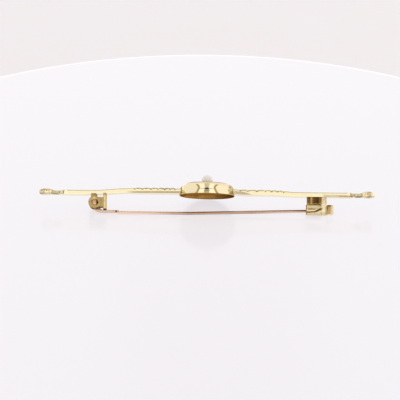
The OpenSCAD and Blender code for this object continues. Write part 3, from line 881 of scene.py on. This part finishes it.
def makeCatch():
    bm = bmesh.new()
    outer, inner = catch["radius"], catch["radius"] - catch["wall"]
    half = mouthAngle(catch["mouth"], outer)
    left, right = catch["x"], postX + catch["overlap"]
    addRollPart(bm, lambda x: -half, lambda x: frontAngle(lipHeight(x), outer),
                left, right, outer, inner, 36, 96, catch["edge"])
    addRollPart(bm, lambda x: frontAngle(slotFoot(x), outer), lambda x: 180 + half,
                left, right, outer, inner, 36, 16, catch["edge"])
    before = set(bm.faces)
    addPost(bm, postX, postX + catch["postThick"], outer, inner, catch["top"])
    addLoops(bm, before, 0, [postX + step for step in catch["postLoops"]])
    addLoops(bm, before, 2, [catch["z"] + step for step in catch["postBands"]])
    before = set(bm.faces)
    addBox(bm, (left, inner, catch["z"]), (postX + catch["plateSunk"], outer, catch["top"]), catch["edge"])
    addLoops(bm, before, 0, catch["plateLoops"])
    addLoops(bm, before, 2, [catch["z"] + step for step in catch["plateBands"]])
    return bm


catchMarks = {  # up is measured from the middle of the roll, and the post's marks from its left edge
    "plate": 0.88, "plateSpots": ((0.55, 19.93, 0.22), (0.3, 19.2, 0.15)), "plateRight": (0.3, 21.3, 0.2),
    "plateLow": (0.85, 1.47, -0.15), "bore": 0.85, "roll": 0.12,
    "shadowLine": (1.0, 0.03, 0.09), "shadowLineStart": (19.2, 0.15), "shadowLineEnd": (20.9, -0.3),
    "postLeft": (0.24, -0.12), "leftLow": (0.3, 1.0, -0.1), "leftHigh": (0.6, 0.9, 0.1),
    "slotEnd": (0.9, 0.06, 0.16), "slotEndRight": (0.34, -0.12), "postTop": 0.07,
    "topRight": (0.15, 0.76, 0.1), "topBand": (1.0, 0.1), "postRight": (0.3, 0.8, 0.1),
    "rightBand": (0.85, -0.1), "postFoot": (0.12, -0.3, -0.3), "frontY": -0.6, "plateY": 0.8,
    "plateFoot": 0.3, "plateOver": 0.08, "boreOver": 0.03, "shadowLineOver": 0.05, "postOver": 0.02,
}


# On the post, the slot-end and right-side marks are painted shade
def postMarks(x, up):
    left = fade(x, *catchMarks["postLeft"])
    side = max(shade(up, catchMarks["leftLow"]), shade(up, catchMarks["leftHigh"]))
    top = catchMarks["postTop"] + shade(x, catchMarks["topRight"])
    return [left * side, spot(up, catchMarks["slotEnd"]) * fade(x, *catchMarks["slotEndRight"]),
            top * fade(up, *catchMarks["topBand"]),
            shade(x, catchMarks["postRight"]) * fade(up, *catchMarks["rightBand"]),
            shade(up, catchMarks["postFoot"])]


def catchPatinaAndShade(co, normal):
    x, up, front = co.x, co.z - catch["z"], co.y < catchMarks["frontY"]
    marks = [0.0]
    onPlate = co.y > catchMarks["plateY"] and up > catchMarks["plateFoot"]
    # painted shade on the back plate behind the roll, lightened by painted reflections at its spots
    if onPlate and x < postX + catchMarks["plateOver"]:
        plate = catchMarks["plate"] - sum(spot(x, mark) for mark in catchMarks["plateSpots"])
        plate -= shade(x, catchMarks["plateRight"])
        marks.append(plate * (1 - shade(up, catchMarks["plateLow"])))
    if math.hypot(co.y, up) < catch["radius"] - catch["wall"] + catchMarks["boreOver"]:
        marks.append(catchMarks["bore"])
    if x < postX:
        marks.append(catchMarks["roll"])
    # painted shadow line across the front of the roll, above the slot
    if front and x < postX + catchMarks["shadowLineOver"]:
        ends = fade(x, *catchMarks["shadowLineStart"]) * fade(x, *catchMarks["shadowLineEnd"])
        marks.append(spot(up, catchMarks["shadowLine"]) * ends)
    if front and x > postX - catchMarks["postOver"]:
        marks += postMarks(x - postX, up)
    return max(marks)


finishBrooch(makeCatch(), "catchHousing", "catchGold", catchPatinaAndShade)

# Rotor inside the roll, with its collar and thumb key
rotor = {
    "radius": 0.84, "wall": 0.22, "sleeveX": 19.02, "collarThick": 0.12, "collarOver": 0.16, "mouth": 0.36,
    "keyX": 22.86, "keyLong": 1.25, "keyHigh": 1.9, "keyThick": 0.45, "corner": 0.3, "keyEdge": 0.06,
    "edge": 0.03, "keyLoops": (23.2, 23.5, 23.75), "keyBands": (-0.85, -0.65, 0.5, 0.75),
    "sleeveDeep": 0.2, "coreDeep": 0.1, "keySunk": 0.1, "slack": 0.01,
    "base": 0.45, "inner": (0.4, 20.3, 0.7), "core": 0.2, "key": 0.12, "keyLeft": (23.75, -0.2),
    "keySide": 0.26, "keyHighMark": (0.5, 0.5, 0.3), "keyFoot": (0.3, -0.65, -0.15),
}


def isKeyPart(item):
    verts = [item] if isinstance(item, bmesh.types.BMVert) else item.verts
    return all(v.co.x > rotor["keyX"] + rotor["slack"] for v in verts)


def addSleeve(bm, fromX, toX, outer, inner, across):
    half = mouthAngle(rotor["mouth"], outer)
    addRollPart(bm, lambda x: -half, lambda x: 180 + half,
                fromX, toX, outer, inner, across, catch["around"], rotor["edge"])


def addKey(bm):
    sunk = rotor["keySunk"]
    place = Matrix.Translation((rotor["keyX"] + (rotor["keyLong"] - sunk) / 2, 0, catch["z"]))
    size = Matrix.Diagonal((rotor["keyLong"] + sunk, rotor["keyThick"], rotor["keyHigh"], 1))
    key = bmesh.ops.create_cube(bm, size=1, matrix=place @ size)["verts"]
    bmesh.ops.recalc_face_normals(bm, faces=facesOf(key))
    farX = max(v.co.x for v in key) - rotor["slack"]
    corners = [e for e in edgesOf(key) if all(v.co.x > farX for v in e.verts)
               and abs(e.verts[0].co.y - e.verts[1].co.y) > rotor["keyThick"] / 2]
    rounded = bevel(bm, corners, rotor["corner"], 6)
    left = [v for v in key if v.is_valid]
    every = list(dict.fromkeys(cornersOf(rounded["faces"]) + left))
    soften(bm, every, rotor["keyEdge"], segments=2, angle=60)


def makeRotor():
    bm = bmesh.new()
    outer, inner = rotor["radius"], rotor["radius"] - rotor["wall"]
    sleeveX, coreX = rotor["sleeveX"], postX + rotor["coreDeep"]
    addSleeve(bm, sleeveX, postX + rotor["sleeveDeep"], outer, inner, 12)
    collarX = sleeveX - rotor["collarThick"]
    addSleeve(bm, collarX, sleeveX + rotor["slack"], outer + rotor["collarOver"], inner, 2)
    spinProfile(bm, [(coreX, 0, catch["z"]), (coreX, outer, catch["z"]),
                     (rotor["keyX"], outer, catch["z"]), (rotor["keyX"], 0, catch["z"])],
                (0, 0, catch["z"]), (1, 0, 0), catch["around"])
    addKey(bm)
    addLoops(bm, set(), 0, rotor["keyLoops"])
    for up in rotor["keyBands"]:
        key = [g for g in bm.verts[:] + bm.edges[:] + bm.faces[:] if isKeyPart(g)]
        bmesh.ops.bisect_plane(bm, geom=key, plane_co=(0, 0, catch["z"] + up), plane_no=(0, 0, 1))
    return bm


def rotorPatinaAndShade(co, normal):
    if co.x < postX + rotor["sleeveDeep"]:
        # the sleeve seen through the slot carries painted shade, deepening towards the post
        return rotor["base"] + shade(co.x, rotor["inner"])
    if co.x < rotor["keyX"] - rotor["slack"]:
        return rotor["core"]
    up = co.z - catch["z"]
    side = rotor["keySide"] + shade(up, rotor["keyHighMark"]) - shade(up, rotor["keyFoot"])
    return rotor["key"] + fade(co.x, *rotor["keyLeft"]) * side


finishPiece(makeRotor(), "catchRotor", "rotor", metals["catchGold"], rotorPatinaAndShade,
            ["catch_rotor"])
print("catch made")

# Round pale table, with a plain floor beyond it
table = {
    "radius": 0.090, "centre": (-0.001, -0.022), "thick": 0.012, "edge": 0.003,
    "colour": (0.16, 0.157, 0.16), "roughness": 0.17, "glow": 0.724, "glowTint": (0.985, 0.955, 1.0, 1),
    "floorDrop": 0.012, "floorSize": 3.0, "floorColour": (0.92, 0.89, 0.90), "floorRoughness": 0.7,
    "floorGlow": 0.05, "steps": 256,
}


def plain(name, colour, roughness, glow=0.0):
    material, tree, shader = newMaterial(name)
    setInputs(tree, shader, {"Base Color": (*colour, 1), "Roughness": roughness,
                             "Emission Color": table["glowTint"], "Emission Strength": glow})
    return material


def makeStage():
    bm = bmesh.new()
    edge = table["edge"]
    rim = arcPoints((table["radius"] - edge, -edge), edge, 90, 0, 8)
    outline = [(0, 0)] + rim + [(table["radius"], -table["thick"])]
    spinUpright(bm, outline, (*table["centre"], 0), table["steps"])
    bmesh.ops.recalc_face_normals(bm, faces=bm.faces)
    white = plain("tableWhite", table["colour"], table["roughness"], table["glow"])
    top = addObject(bm, "roundTable", white)
    top.data.shade_smooth()
    bm = bmesh.new()
    bmesh.ops.create_grid(bm, x_segments=1, y_segments=1, size=table["floorSize"],
                          matrix=Matrix.Translation((0, 0, -table["floorDrop"])))
    pale = plain("floorWhite", table["floorColour"], table["floorRoughness"], table["floorGlow"])
    floor = addObject(bm, "paleFloor", pale)


makeStage()

# Soft studio light: a white tent, whose seams and bands the boss reflects
tent = {
    "front": 0.26, "half": 0.30, "high": 0.54, "back": 0.40, "flapZ": 0.39, "flapY": -0.09, "clear": 0.03,
    "frontZ": 0.32,
    "world": 0.93, "tint": (1.0, 0.985, 0.995, 1), "roofGlow": 0.18, "frontGlow": 0.24, "rightGlow": 0.10,
    "seamFront": 0.018, "seamTop": 0.0684, "seamFlap": 0.0612, "seamCorner": 0.054, "roughness": 0.8,
}
cloths = {"tentSeam": (0.44, 0.39, 0.27), "tentGrey": (0.72, 0.72, 0.70), "tentDim": (0.60, 0.60, 0.57),
          "tentGap": (0.02, 0.02, 0.02)}
bands = {  # cloth, middle and size
    "gap": ("tentGap", (0.0005, -0.25, 0.369), (0.127, 0.006, 0.103)),
    "bandRoof": ("tentGrey", (0.0005, 0.07, 0.55), (0.15, 0.66, 0.004)),
    "bandFront": ("tentDim", (0.0015, -0.262, 0.4), (0.148, 0.004, 0.288)),
    "bandBack": ("tentGrey", (-0.004, 0.42, 0.40), (0.08, 0.004, 0.30)),
}


def makeWorld():
    world = bpy.data.worlds.new("lightTent")
    bpy.context.scene.world = world
    world.use_nodes = True
    background = world.node_tree.nodes["Background"]
    setInputs(world.node_tree, background, {"Color": tent["tint"], "Strength": tent["world"]})


def panel(name, place, facing, size, glow):
    data = bpy.data.lights.new(name, "AREA")
    data.shape = "RECTANGLE"
    data.size, data.size_y = size
    data.energy = glow * math.pi * size[0] * size[1]
    lamp = bpy.data.objects.new(name, data)
    lamp.location = place
    lamp.rotation_mode = "QUATERNION"
    lamp.rotation_quaternion = (-Vector(facing)).to_track_quat("Z", "Y")
    lamp.visible_camera = False
    bpy.context.scene.collection.objects.link(lamp)


def card(name, middle, size, material, tilt=0.0):
    bm = bmesh.new()
    place = Matrix.Translation(middle) @ Matrix.Rotation(tilt, 4, "X") @ Matrix.Diagonal((*size, 1))
    bmesh.ops.create_cube(bm, size=1, matrix=place)
    obj = addObject(bm, name, material)
    obj.visible_camera = False
    obj.visible_shadow = False


def makeTent():
    front, half, high, back = (tent[key] for key in ("front", "half", "high", "back"))
    clear, flapZ, flapY = (tent[key] for key in ("clear", "flapZ", "flapY"))
    thin, top, flap, corner = (tent[key] for key in ("seamFront", "seamTop", "seamFlap", "seamCorner"))
    run, rise = flapY + front, high - flapZ
    length, middle = front + back, (back - front) / 2
    panel("roofPanel", (0, middle, high + clear), (0, 0, -1), (2 * half, length), tent["roofGlow"])
    panel("frontPanel", (0, -front - clear, tent["frontZ"]), (0, 1, 0), (2 * half, high), tent["frontGlow"])
    panel("rightPanel", (half + clear, middle, high / 2), (-1, 0, 0), (high, length), tent["rightGlow"])
    fabrics = {name: plain(name, colour, tent["roughness"]) for name, colour in cloths.items()}
    seam = fabrics["tentSeam"]
    card("seamFrontTop", (0, -front, flapZ), (2 * half, thin, thin), seam)
    for side, name in ((-1, "Left"), (1, "Right")):
        x = side * half
        card("seamTop" + name, (x, (flapY + back) / 2, high), (top, back - flapY, top), seam)
        card("seamFlap" + name, (x, (flapY - front) / 2, (flapZ + high) / 2),
             (flap, math.hypot(run, rise), flap), seam, math.atan2(rise, run))
        card("seamCorner" + name, (x, -front, flapZ / 2), (corner, corner, flapZ), seam)
    for name, (cloth, place, size) in bands.items():
        card(name, place, size, fabrics[cloth])


makeWorld()
makeTent()

# Camera at the photograph's angle
shot = {"azimuth": 1.27, "elevation": 29.34, "distance": 0.6, "frameWide": 0.07656, "sensor": 36,
        "right": -0.00134, "up": 0.00178, "clip": (0.01, 10)}


def makeCamera():
    a, e = math.radians(shot["azimuth"]), math.radians(shot["elevation"])
    back = Vector((math.sin(a) * math.cos(e), -math.cos(a) * math.cos(e), math.sin(e)))
    right = Vector((math.cos(a), math.sin(a), 0))
    up = back.cross(right)
    data = bpy.data.cameras.new("camera")
    data.sensor_width = shot["sensor"]
    data.lens = shot["sensor"] * shot["distance"] / shot["frameWide"]
    data.clip_start, data.clip_end = shot["clip"]
    camera = bpy.data.objects.new("camera", data)
    camera.location = right * shot["right"] + up * shot["up"] + back * shot["distance"]
    camera.rotation_mode = "QUATERNION"
    camera.rotation_quaternion = Matrix((right, up, back)).transposed().to_quaternion()
    bpy.context.scene.collection.objects.link(camera)
    bpy.context.scene.camera = camera


makeCamera()
bpy.context.scene.view_settings.view_transform = "Standard"
print("stage, light and camera made")
